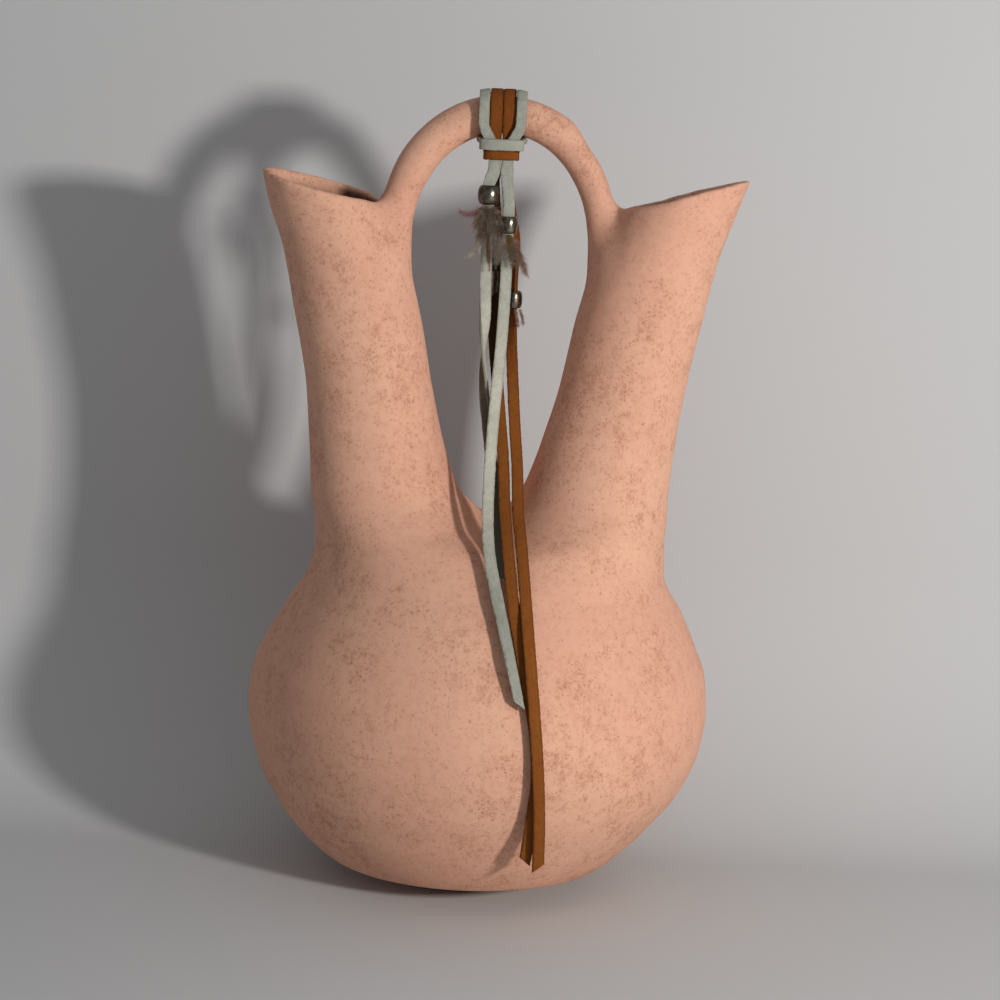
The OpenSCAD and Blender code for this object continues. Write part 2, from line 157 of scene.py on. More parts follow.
addCamera()
print("camera placed")


# shader parts

shaderSet = {
    "cloudRoughness": 0.62,
    # crumbs: how their cells are bent, how one fades from rim to middle, and how sharply cells are chosen
    "bendScale": 1100.0, "bendDetail": 3.0, "bendReach": 0.0018, "rim": 0.46, "middle": 0.12, "choice": 5.0,
}


def addGroup(name, inputs, outputs):
    # a group whose sockets are numbers, apart from the place that it starts from
    group = bpy.data.node_groups.new(name, "ShaderNodeTree")
    group.interface.new_socket("Vector", in_out="INPUT", socket_type="NodeSocketVector")
    for label, value in inputs:
        socket = group.interface.new_socket(label, in_out="INPUT", socket_type="NodeSocketFloat")
        socket.default_value = value
    for label in outputs:
        group.interface.new_socket(label, in_out="OUTPUT", socket_type="NodeSocketFloat")
    return group, group.nodes.new("NodeGroupInput"), group.nodes.new("NodeGroupOutput")


def cloudGroup():
    # soft patches: noise through a smooth step from Low to High
    inputs = [("Scale", 20.0), ("Detail", 3.0), ("Low", 0.4), ("High", 0.6)]
    group, entry, out = addGroup("softPatches", inputs, ["Mask", "Raw"])
    grain = group.nodes.new("ShaderNodeTexNoise")
    grain.inputs["Roughness"].default_value = shaderSet["cloudRoughness"]
    step = group.nodes.new("ShaderNodeMapRange")
    step.interpolation_type = "SMOOTHSTEP"
    link = group.links.new
    for label in ("Vector", "Scale", "Detail"):
        link(entry.outputs[label], grain.inputs[label])
    link(grain.outputs["Fac"], step.inputs["Value"])
    link(entry.outputs["Low"], step.inputs["From Min"])
    link(entry.outputs["High"], step.inputs["From Max"])
    link(step.outputs["Result"], out.inputs["Mask"])
    link(grain.outputs["Fac"], out.inputs["Raw"])
    return group


softPatches = cloudGroup()


def crumbGroup():
    # irregular crumbs in some of the cells of a loose grid, more of them where Density is high
    group, entry, out = addGroup("crumbs", [("Scale", 500.0), ("Density", 0.3)], ["Mask"])
    node, link = group.nodes.new, group.links.new

    def sumNode(kind, operation):
        made = node(kind)
        made.operation = operation
        return made

    wobble = node("ShaderNodeTexNoise")
    wobble.inputs["Scale"].default_value = shaderSet["bendScale"]
    wobble.inputs["Detail"].default_value = shaderSet["bendDetail"]
    middle = sumNode("ShaderNodeVectorMath", "SUBTRACT")
    middle.inputs[1].default_value = (0.5, 0.5, 0.5)
    push = sumNode("ShaderNodeVectorMath", "MULTIPLY_ADD")
    push.inputs[1].default_value = [shaderSet["bendReach"]] * 3
    cells = node("ShaderNodeTexVoronoi")
    near = node("ShaderNodeMapRange")
    near.interpolation_type = "SMOOTHSTEP"
    near.inputs["From Min"].default_value = shaderSet["rim"]
    near.inputs["From Max"].default_value = shaderSet["middle"]
    channel = node("ShaderNodeSeparateColor")
    spare = sumNode("ShaderNodeMath", "SUBTRACT")
    keep = sumNode("ShaderNodeMath", "MULTIPLY")
    keep.use_clamp = True
    keep.inputs[1].default_value = shaderSet["choice"]
    both = sumNode("ShaderNodeMath", "MULTIPLY")
    link(entry.outputs["Vector"], wobble.inputs["Vector"])
    link(wobble.outputs["Color"], middle.inputs[0])
    link(middle.outputs[0], push.inputs[0])
    link(entry.outputs["Vector"], push.inputs[2])
    link(push.outputs[0], cells.inputs["Vector"])
    link(entry.outputs["Scale"], cells.inputs["Scale"])
    link(cells.outputs["Distance"], near.inputs["Value"])
    link(cells.outputs["Color"], channel.inputs[0])
    link(entry.outputs["Density"], spare.inputs[0])
    link(channel.outputs[0], spare.inputs[1])
    link(spare.outputs[0], keep.inputs[0])
    link(near.outputs["Result"], both.inputs[0])
    link(keep.outputs[0], both.inputs[1])
    link(both.outputs[0], out.inputs["Mask"])
    return group


crumbs = crumbGroup()


class Finish:
    # one material and the few node moves that its recipe needs
    def __init__(self, name):
        self.material = bpy.data.materials.new(name)
        self.material.use_nodes = True
        self.tree = self.material.node_tree
        self.shader = self.tree.nodes["Principled BSDF"]
        self.place = self.tree.nodes.new("ShaderNodeTexCoord").outputs["Object"]

    def node(self, kind, **values):
        made = self.tree.nodes.new(kind)
        for label, value in values.items():
            setattr(made, label, value)
        return made

    def join(self, source, socket):
        if hasattr(source, "is_output"):
            self.tree.links.new(source, socket)
        else:
            socket.default_value = source

    def group(self, tree, **values):
        made = self.node("ShaderNodeGroup", node_tree=tree)
        self.join(self.place, made.inputs["Vector"])
        for label, value in values.items():
            self.join(value, made.inputs[label])
        return made

    def patches(self, scale, low, high, detail=3.0):
        return self.group(softPatches, Scale=scale, Detail=detail, Low=low, High=high).outputs["Mask"]

    def rawNoise(self, scale, detail=3.0):
        return self.group(softPatches, Scale=scale, Detail=detail).outputs["Raw"]

    def speckle(self, scale, density):
        return self.group(crumbs, Scale=scale, Density=density).outputs["Mask"]

    def mix(self, amount, first, second, blend="MIX"):
        made = self.node("ShaderNodeMix", data_type="RGBA", blend_type=blend)
        self.join(amount, made.inputs["Factor"])
        self.join(first, made.inputs[6])
        self.join(second, made.inputs[7])
        return made.outputs[2]

    def sums(self, operation, first, second, third=None):
        made = self.node("ShaderNodeMath", operation=operation)
        for i, value in enumerate((first, second, third)):
            if value is not None:
                self.join(value, made.inputs[i])
        return made.outputs[0]

    def layer(self, color, mask, amount, tint):
        # a tint over a colour, by a mask and an amount
        return self.mix(self.sums("MULTIPLY", mask, amount), color, tint)

    def scaled(self, color, red, green, blue):
        return self.mix(1.0, color, (red, green, blue, 1), "MULTIPLY")

    def bump(self, height, strength, distance):
        made = self.node("ShaderNodeBump")
        made.inputs["Strength"].default_value = strength
        made.inputs["Distance"].default_value = distance
        self.join(height, made.inputs["Height"])
        return made.outputs["Normal"]

    def attribute(self, name, output="Fac"):
        made = self.node("ShaderNodeAttribute", attribute_name=name)
        return made.outputs[output]

    def finish(self, color, roughness, normal=None):
        self.join(color, self.shader.inputs["Base Color"])
        self.join(roughness, self.shader.inputs["Roughness"])
        if normal is not None:
            self.join(normal, self.shader.inputs["Normal"])
        return self.material


# laces: the free tails are the cords, so they come first

laceSet = {
    "width": 4.35, "thick": 1.6, "gap": 0.6, "cutRun": 9.0,
    # rough edges and faces: how much, and how fine
    "edgeFrom": 0.9, "edgeRough": 0.17, "faceRough": 0.05, "roughScale": 1.1, "faceScale": 0.6,
    # section, as shares of half the width and half the thickness
    "profile": [
        (1.0, -0.4), (1.0, 0.4), (0.93, 0.86), (0.6, 1.0), (0.2, 1.0),
        (-0.2, 1.0), (-0.6, 1.0), (-0.93, 0.86), (-1.0, 0.4), (-1.0, -0.4),
        (-0.93, -0.86), (-0.5, -1.0), (0.0, -1.0), (0.5, -1.0), (0.93, -0.86),
    ],
    # a tail slims over its last run, and is pressed wider where it leaves the hitch, by height
    "slimRun": 35, "pressed": 0.4, "pressedRun": (269, 274),
    # darker faces by height, painted shade on one lace's end by the height over the end, and how a stretch
    # painted as shadow fades
    "darkerRun": (195, 272), "endShade": (28, 60), "shadowFade": (4, 2),
}


def sweepLace(name, points, faces, widths, darkening, cut=0.0, seed=0):
    # flat suede strip along points in millimetres, with rough edges and a slanted cut at its end
    # for each point, a share of darker face, which near one lace's end is painted shade, and a share of the
    # reverse colour shown, which on one front stretch is painted shadow
    deep = laceSet["thick"] / 2
    profile = laceSet["profile"]
    spots, edgeMarks, fleshAndShadowMarks, darkerShadeMarks = [], [], [], []
    last = len(points) - 1
    left = [0.0]  # length left to the end
    for a, b in zip(points[::-1], points[-2::-1]):
        left.insert(0, left[0] + (b - a).length)
    for i, point in enumerate(points):
        along = tangentAt(points, i)
        face = squareTo(along, faces[i])
        across = face.cross(along)
        half = widths[i] / 2
        slant = cut / 2 * max(0, 1 - left[i] / laceSet["cutRun"]) ** 2
        for j, (side, lift) in enumerate(profile):
            grit = laceSet["roughScale"]
            nub = Vector((point.x * grit + seed, point.y * grit + j, point.z * grit))
            onEdge = abs(side) > laceSet["edgeFrom"]
            ragged = laceSet["edgeRough"] * noise.noise(nub) if onEdge else 0
            wavy = laceSet["faceRough"] * noise.noise(nub * laceSet["faceScale"] + Vector((3, 7, seed)))
            spot = point + across * (side * half + ragged * math.copysign(1, side))
            spots.append((spot + face * (lift * deep + wavy) + along * (slant * side)) * mm)
            edgeMarks.append(1.0 if onEdge else 0.0)
            # reverse faces take the reverse colour; one front stretch takes it too, as painted shadow
            fleshAndShadowMarks.append(1.0 if lift < 0 else darkening[i][1])
            darkerShadeMarks.append(darkening[i][0])
    count = len(profile)
    quads = [
        (i * count + j, (i + 1) * count + j, (i + 1) * count + (j + 1) % count, i * count + (j + 1) % count)
        for i in range(last) for j in range(count)
    ]
    quads.append(tuple(range(count)))
    quads.append(tuple(last * count + j for j in reversed(range(count))))
    lace = meshPiece(name, spots, quads)
    for label, marks in (("cutEdge", edgeMarks), ("fleshSideAndShadow", fleshAndShadowMarks), ("darkerAndShade", darkerShadeMarks)):
        lace.data.attributes.new(label, "FLOAT", "POINT").data.foreach_set("value", marks)
    closeNormals(lace)
    smoothShade(lace, 50)
    return lace


suedeSet = {
    # painted shadow: the reverse gets darker above these heights, where it hangs in the laces' shade; its
    # colour is also darker than the suede's own to stand in for shade
    "shadowHeights": (0.15, 0.18),  # heights between which the reverse gets darker
    "sage": {
        "face": (0.54, 0.535, 0.455, 1), "darkerAndShade": (0.35, 0.355, 0.305, 1), "edge": (0.30, 0.295, 0.24, 1),
        "fleshAndShade": (0.10, 0.095, 0.065, 1), "fleshInShadow": (0.055, 0.05, 0.036, 1),
    },
    "rust": {
        "face": (0.235, 0.074, 0.014, 1), "darkerAndShade": (0.205, 0.060, 0.011, 1), "edge": (0.105, 0.032, 0.008, 1),
        "fleshAndShade": (0.10, 0.030, 0.008, 1), "fleshInShadow": (0.03, 0.016, 0.009, 1),
    },
}


def suede(name, tints):
    make = Finish(name)
    nap = make.patches(420, 0.35, 0.68, 5.0)
    fibre = make.rawNoise(2600, 4.0)
    cloud = make.patches(70, 0.35, 0.7)
    # darker tone near the hitch and the tails' tops, and painted shade near one lace's end where it lies
    # against the bowl
    plain = make.mix(make.attribute("darkerAndShade"), tints["face"], tints["darkerAndShade"])
    dull = make.scaled(plain, 0.76, 0.76, 0.76)
    bright = make.scaled(plain, 1.3, 1.3, 1.3)
    color = make.layer(plain, cloud, 0.5, dull)
    color = make.layer(color, nap, 0.4, bright)
    # painted shadow: the reverse colour, darker again above a height, shown on the reverse faces and on one
    # front stretch
    height = make.node("ShaderNodeSeparateXYZ")
    make.join(make.place, height.inputs[0])
    high = make.node("ShaderNodeMapRange")
    make.join(height.outputs["Z"], high.inputs["Value"])
    high.inputs["From Min"].default_value, high.inputs["From Max"].default_value = suedeSet["shadowHeights"]
    shadedReverse = make.mix(high.outputs["Result"], tints["fleshAndShade"], tints["fleshInShadow"])
    color = make.layer(color, make.attribute("fleshSideAndShadow"), 0.9, shadedReverse)
    color = make.layer(color, make.attribute("cutEdge"), 0.6, tints["edge"])
    strands = make.mix(fibre, (0.5, 0.5, 0.5, 1), (1.4, 1.4, 1.4, 1))
    color = make.mix(1.0, color, make.mix(0.7, (1, 1, 1, 1), strands, "MULTIPLY"), "MULTIPLY")
    make.shader.inputs["Specular IOR Level"].default_value = 0.12
    normal = make.bump(make.sums("ADD", fibre, make.sums("MULTIPLY", nap, 0.5)), 0.6, 0.0003)
    return make.finish(color, 0.95, normal)


sageSuede = suede("sageSuede", suedeSet["sage"])
rustSuede = suede("rustSuede", suedeSet["rust"])

# routes are place and turn of the face, as in the CAD
tails = {
    "sageLeftTail": {
        "node": "sage_left_tail", "slot": "sage_suede", "finish": sageSuede, "bead": "sageLeft",
        "cut": -4.5, "endWidth": 4.35, "endShade": 0.0, "shadowRun": None,
        "route": [
            (-1.8, -9.75, 276.2, 0), (-1.8, -9.75, 275, 0), (-2.6, -10.5, 272.6, 0), (-3.4, -11.2, 270, 0),
            (-3.4, -11.2, 266, 0), (-3.4, -11.2, 254, 0), (-3.4, -10.8, 243, 0), (-3.3, -10.3, 232, 0),
            (-3, -9.8, 221, -25), (-3.2, -9.4, 211, -70), (-3, -9.3, 201, -110), (-2, -9.6, 190, -140),
            (-0.4, -11, 179.5, -165), (1.2, -14.4, 169, -180), (3, -21.2, 159.5, -180),
            (4.6, -31, 150.8, -180), (5.6, -42, 143, -180), (6.4, -52, 136.4, -180), (7, -60.4, 130.2, -180),
        ],
    },
    "sageRightTail": {
        "node": "sage_right_tail", "slot": "sage_suede", "finish": sageSuede, "bead": "sageRight",
        # this lace's lower end takes painted shade, where it lies against the bowl
        "cut": 3.8, "endWidth": 3.4, "endShade": 1.0, "shadowRun": None,
        "route": [
            (3, -9.75, 276.2, 0), (3, -9.75, 274, 0), (3.4, -10.2, 270, 0), (4, -10.8, 265.5, 0),
            (4.3, -11.2, 261, 0), (4.3, -11.2, 255.2, 0), (4.3, -11.2, 246, 0), (4.2, -10.8, 234, 0),
            (3.9, -10.8, 221, 0), (3.4, -11.2, 208, 0), (2.6, -12.6, 196, 0), (1.7, -16.2, 180, 0),
            (1.2, -22.6, 167, 0), (1.1, -30, 157.4, 0), (1.2, -38, 150, 0), (1.6, -46, 143.8, 0),
            (2.6, -54.8, 137.2, 0), (4.4, -63.2, 130, 0), (6.6, -70.8, 122.4, 0), (9.2, -77.8, 113.4, 0),
            (12.2, -84, 102.6, -5), (15.4, -87.7, 90, -8),
        ],
    },
    "rustLeftTail": {
        "node": "rust_left_tail", "slot": "rust_suede", "finish": rustSuede, "bead": "rustLeft",
        # this lace's front face between these heights is painted in the dark reverse colour as painted shadow
        "cut": 3.0, "endWidth": 4.2, "endShade": 0.0, "shadowRun": (198, 238),
        "route": [
            (-1.8, -7.55, 276.2, 0), (-1.8, -7.55, 274, 0), (-1.8, -6.8, 271, 0), (-1.6, -6, 268, 0),
            (-1.2, -5.5, 263, 0), (-0.5, -5.2, 257, 0), (0.2, -5, 250, 0), (0.2, -5, 241, 0),
            (0.2, -5, 231, 0), (0.3, -5.2, 219, 0), (1.2, -5.9, 207, 0), (2.8, -8, 194, 0),
            (4.4, -11.8, 181, 0), (5.7, -16, 171, 0), (6.6, -23.2, 161.5, 0), (7.2, -33, 153.2, 0),
            (8.2, -43.6, 146, 0), (9.6, -57, 136.6, 0), (12, -71, 122.4, 0), (15.2, -78.8, 107.8, -5),
            (19, -85.2, 92, -8), (21.8, -87.4, 77, -10), (22.8, -87.6, 63, -10), (21.6, -86, 48, -6),
            (19.9, -82.4, 31.2, 0),
        ],
    },
    "rustRightTail": {
        "node": "rust_right_tail", "slot": "rust_suede", "finish": rustSuede, "bead": "rustRight",
        "cut": -3.5, "endWidth": 4.35, "endShade": 0.0, "shadowRun": None,
        "route": [
            (3, -7.55, 276.2, 0), (3, -7.55, 274, 0), (3.2, -6.8, 271, 0), (3.7, -6, 267, 0),
            (4.9, -5.3, 260, 0), (6.6, -4.8, 251, 10), (7.2, -4.6, 244, 40), (7.3, -4.6, 238, 60),
            (7.3, -4.6, 226.8, 60), (7.3, -4.6, 215, 45), (7.7, -5.4, 206, 25), (8.8, -8.4, 192, 5),
            (10.2, -14, 177, 0), (11.4, -20.4, 166, 0), (12, -28.6, 157, 0), (12.6, -38.6, 149.6, 0),
            (13.9, -50.6, 141.8, 0), (15.4, -63.6, 131, -5), (17.2, -77, 116.8, -6), (18.8, -83.6, 104, -8),
            (20.4, -87.6, 91, -10), (22, -89.6, 77, -10), (23.4, -90, 62, -10), (24.3, -88.6, 47, -8),
            (24.7, -85, 29.8, -6),
        ],
    },
}


def turnedFace(along, turn):
    front = squareTo(along, Vector((0, -1, 0)))
    angle = math.radians(turn)
    return front * math.cos(angle) + along.cross(front) * math.sin(angle)


def ramp(value, low, high):
    return max(0.0, min(1.0, (value - low) / (high - low)))


def tailDarkening(tail, points):
    # darker near the hitch and the tails' tops; on one lace painted shade near its end too; on one stretch
    # the front face is painted in the reverse colour as painted shadow
    foot = points[-1].z
    start, full = laceSet["endShade"]
    fadeOut, fadeIn = laceSet["shadowFade"]
    darkening = []
    for point in points:
        paintedEndShade = tail["endShade"] * (1 - ramp(point.z, foot + start, foot + full))
        fleshAndShade = 0.0
        if tail["shadowRun"]:
            low, high = tail["shadowRun"]
            fleshAndShade = ramp(point.z, low - fadeOut, low + fadeIn)
            fleshAndShade *= 1 - ramp(point.z, high - fadeIn, high + fadeOut)
        darkening.append((max(ramp(point.z, *laceSet["darkerRun"]), paintedEndShade), fleshAndShade))
    return darkening


def addTail(name, seed):
    tail = tails[name]
    run = smoothRun(tail["route"], laceSet["gap"])
    points = [Vector(key[:3]) for key in run]
    faces = [turnedFace(tangentAt(points, i), key[3]) for i, key in enumerate(run)]
    foot = points[-1].z
    widths = []
    for point in points:
        slim = (laceSet["width"] - tail["endWidth"]) * (1 - ramp(point.z, foot, foot + laceSet["slimRun"]))
        widths.append(laceSet["width"] - slim + laceSet["pressed"] * ramp(point.z, *laceSet["pressedRun"]))
    lace = sweepLace(name, points, faces, widths, tailDarkening(tail, points), tail["cut"], seed)
    dress(lace, tail["finish"], tail["slot"], "laces", tail["node"])
    tail["path"] = [point * mm for point in points]
    tail["length"] = sum((b - a).length for a, b in zip(tail["path"], tail["path"][1:]))
    tail["piece"] = lace
    print(name, "length", round(tail["length"], 4))


for seed, name in enumerate(tails):
    addTail(name, 11 * seed + 5)


# hitch: each lace doubled over the handle, its ends through its own bight
# keys are place and face from the handle's axis and the width there, for the right half

hitchSet = {
    "origin": (0.6, 0, 295.75),
    "rust": [
        (2.4, -7.55, -19.55, 0, -1, 0, 4.35), (2.4, -7.55, -18.55, 0, -1, 0, 4.35),
        (2.4, -7.55, -15.45, 0, -1, 0, 4.35), (2.4, -7.75, -9.85, 0, -1, 0, 4.45),
        (2.4, -8.35, -4.35, 0, -1, 0, 4.68), (2.4, -8.75, 0, 0, -1, 0, 4.72),
        (2.4, -7.58, 4.38, 0, -0.87, 0.5, 4.72), (2.4, -4.38, 7.58, 0, -0.5, 0.87, 4.72),
        (2.4, 0, 8.75, 0, 0, 1, 4.72), (2.4, 4.38, 7.58, 0, 0.5, 0.87, 4.68),
        (2.4, 7.58, 4.38, 0, 0.87, 0.5, 4.5), (2.4, 8.75, 0, 0, 1, 0, 4.4),
        (2.4, 7.58, -4.38, 0, 0.87, -0.5, 4.4), (2.5, 5.25, -8.55, 0, 0.5, -0.86, 4.3),
        (3.3, 1, -12.75, 0.15, 0.25, -0.96, 4.2), (5.2, -3.55, -14.6, 0.75, 0, -0.66, 4.0),
        (5.8, -7.55, -15.2, 1, 0, 0, 3.5), (5.6, -10.85, -15.05, 0.8, -0.6, 0, 3.2),
        (3.4, -11.95, -15, 0.2, -0.98, 0, 3.4), (0, -12.15, -15, 0, -1, 0, 3.4),
    ],
    "sage": [
        (2.4, -9.75, -19.55, 0, -1, 0, 4.35), (2.4, -9.75, -18.55, 0, -1, 0, 4.35),
        (2.4, -9.75, -15.45, 0, -1, 0, 4.3), (2.6, -9.85, -12.95, 0, -1, 0, 4.2),
        (4.5, -10.05, -9.05, 0, -1, 0, 4.0), (6.7, -10.65, -4.5, 0, -1, 0, 3.9),
        (6.96, -10.25, 0.5, 0, -1, 0.05, 3.85), (6.96, -8.74, 5.03, 0.05, -0.87, 0.5, 3.85),
        (6.96, -4.68, 8.05, 0.15, -0.5, 0.86, 3.9), (6.96, 0, 8.25, 0.2, 0, 0.98, 3.9),
        (6.96, 4.38, 7.21, 0.15, 0.5, 0.86, 3.9), (6.96, 7.79, 4.18, 0.08, 0.87, 0.5, 3.9),
        (6.96, 9.25, -0.5, 0, 1, 0, 3.9), (6.96, 7.96, -5.25, 0, 0.87, -0.5, 3.9),
        (7.16, 5.25, -8.65, 0.1, 0.45, -0.89, 3.9), (7.26, 0.8, -10.55, 0.3, 0.1, -0.95, 4.0),
        (7.8, -3.55, -10.2, 0.75, 0, -0.66, 4.1), (7.5, -7.55, -10.95, 1, 0, 0, 4.1),
        (7.2, -10.85, -11.1, 0.8, -0.6, 0, 4.1), (5, -11.95, -11.15, 0.2, -0.98, 0, 4.2),
        (0, -12.15, -11.15, 0, -1, 0, 4.2),
    ],
}


def addHitch(name, color, finish, slot, node, seed):
    half = hitchSet[color]
    keys = [(-k[0], k[1], k[2], -k[3], *k[4:]) for k in half] + half[-2::-1]
    run = smoothRun(keys, laceSet["gap"])
    origin = Vector(hitchSet["origin"])
    points = [origin + Vector(key[:3]) for key in run]
    faces = [Vector(key[3:6]) for key in run]
    lace = sweepLace(name, points, faces, [key[6] for key in run], [(1.0, 0.0)] * len(run), 0.0, seed)
    dress(lace, finish, slot, "laces", node)


addHitch("sageHitch", "sage", sageSuede, "sage_suede", "sage_hitch", 61)
addHitch("rustHitch", "rust", rustSuede, "rust_suede", "rust_hitch", 83)
print("laces swept")


# beads: barrels spun from a profile, each with its own dents

beadSet = {
    "bore": 2.55, "rim": 2.7, "lip": 0.15, "steps": 56, "arcs": 18, "roundness": 2.05,
    "dent": 0.05, "dentScale": 0.45, "dentFrom": 2.6,
    # place of the middle, radius and height
    "sageLeft": ((-3.4, -11.2, 266), 4.15, 7.2), "sageRight": ((4.3, -11.2, 255.2), 3.5, 6.4),
    "rustLeft": ((0.2, -5, 241), 3.5, 6.4), "rustRight": ((7.3, -4.6, 226.8), 3.5, 6.4),
}


def pewter():
    make = Finish("darkPewter")
    tarnish = make.patches(240, 0.42, 0.62, 4.0)
    scuff = make.patches(1500, 0.45, 0.6, 4.0)
    color = make.mix(tarnish, (0.17, 0.155, 0.12, 1), (0.055, 0.047, 0.034, 1))
    color = make.layer(color, scuff, 0.25, (0.30, 0.275, 0.22, 1))
    make.shader.inputs["Metallic"].default_value = 1.0
    rough = make.sums("MULTIPLY_ADD", tarnish, 0.12, 0.22)
    normal = make.bump(make.rawNoise(900, 3.0), 0.10, 0.0004)
    return make.finish(color, rough, normal)


def beadProfile(radius, half):
    bore, rim, lip, arcs = (beadSet[k] for k in ("bore", "rim", "lip", "arcs"))
    outer = []
    for i in range(arcs + 1):
        rise = math.sin(math.radians(-90 + 180 * i / arcs))
        out = math.sqrt(max(0, 1 - abs(rise) ** beadSet["roundness"]))
        outer.append((rim + (radius - rim) * out, half * rise))
    inner = [(bore + lip, half), (bore, half - lip), (bore, 0), (bore, lip - half), (bore + lip, -half)]
    return outer + inner


def addBead(name, key, body, node, finish, seed):
    place, radius, height = beadSet[key]
    profile = beadProfile(radius, height / 2)
    points = [Vector((r, 0, z)) * mm for r, z in profile]
    edges = [(i, (i + 1) % len(points)) for i in range(len(points))]
    mesh = bpy.data.meshes.new(name)
    mesh.from_pydata(points, edges, [])
    bead = bpy.data.objects.new(name, mesh)
    bpy.context.collection.objects.link(bead)
    pickOnly(bead)
    bpy.ops.object.mode_set(mode="EDIT")
    bpy.ops.mesh.select_all(action="SELECT")
    bpy.ops.mesh.spin(steps=beadSet["steps"], angle=2 * math.pi, center=(0, 0, 0), axis=(0, 0, 1))
    bpy.ops.mesh.select_all(action="SELECT")
    bpy.ops.mesh.remove_doubles(threshold=0.00002)
    bpy.ops.mesh.normals_make_consistent(inside=False)
    bpy.ops.object.mode_set(mode="OBJECT")
    for vertex in bead.data.vertices:
        spot = vertex.co / mm
        dent = Vector((spot.x, spot.y, 0)).normalized() * beadSet["dent"]
        if spot.xy.length > beadSet["dentFrom"]:
            spot += dent * noise.noise(spot * beadSet["dentScale"] + Vector((seed, 2 * seed, 0)))
        vertex.co = (spot + Vector(place)) * mm
    smoothShade(bead, 35)
    dress(bead, finish, "bead_metal", body, node)
    return bead


darkPewter = pewter()
beadNames = {
    "sageLeft": ("sage_left_slider", "sage_left_bead"), "sageRight": ("sage_right_slider", "sage_right_bead"),
    "rustLeft": ("rust_left_slider", "rust_left_bead"), "rustRight": ("rust_right_slider", "rust_right_bead"),
}
for seed, (key, (body, node)) in enumerate(beadNames.items()):
    addBead(key + "Bead", key, body, node, darkPewter, 3.7 * seed + 1)
print("beads spun")


# tufts: fine strands from under each bead

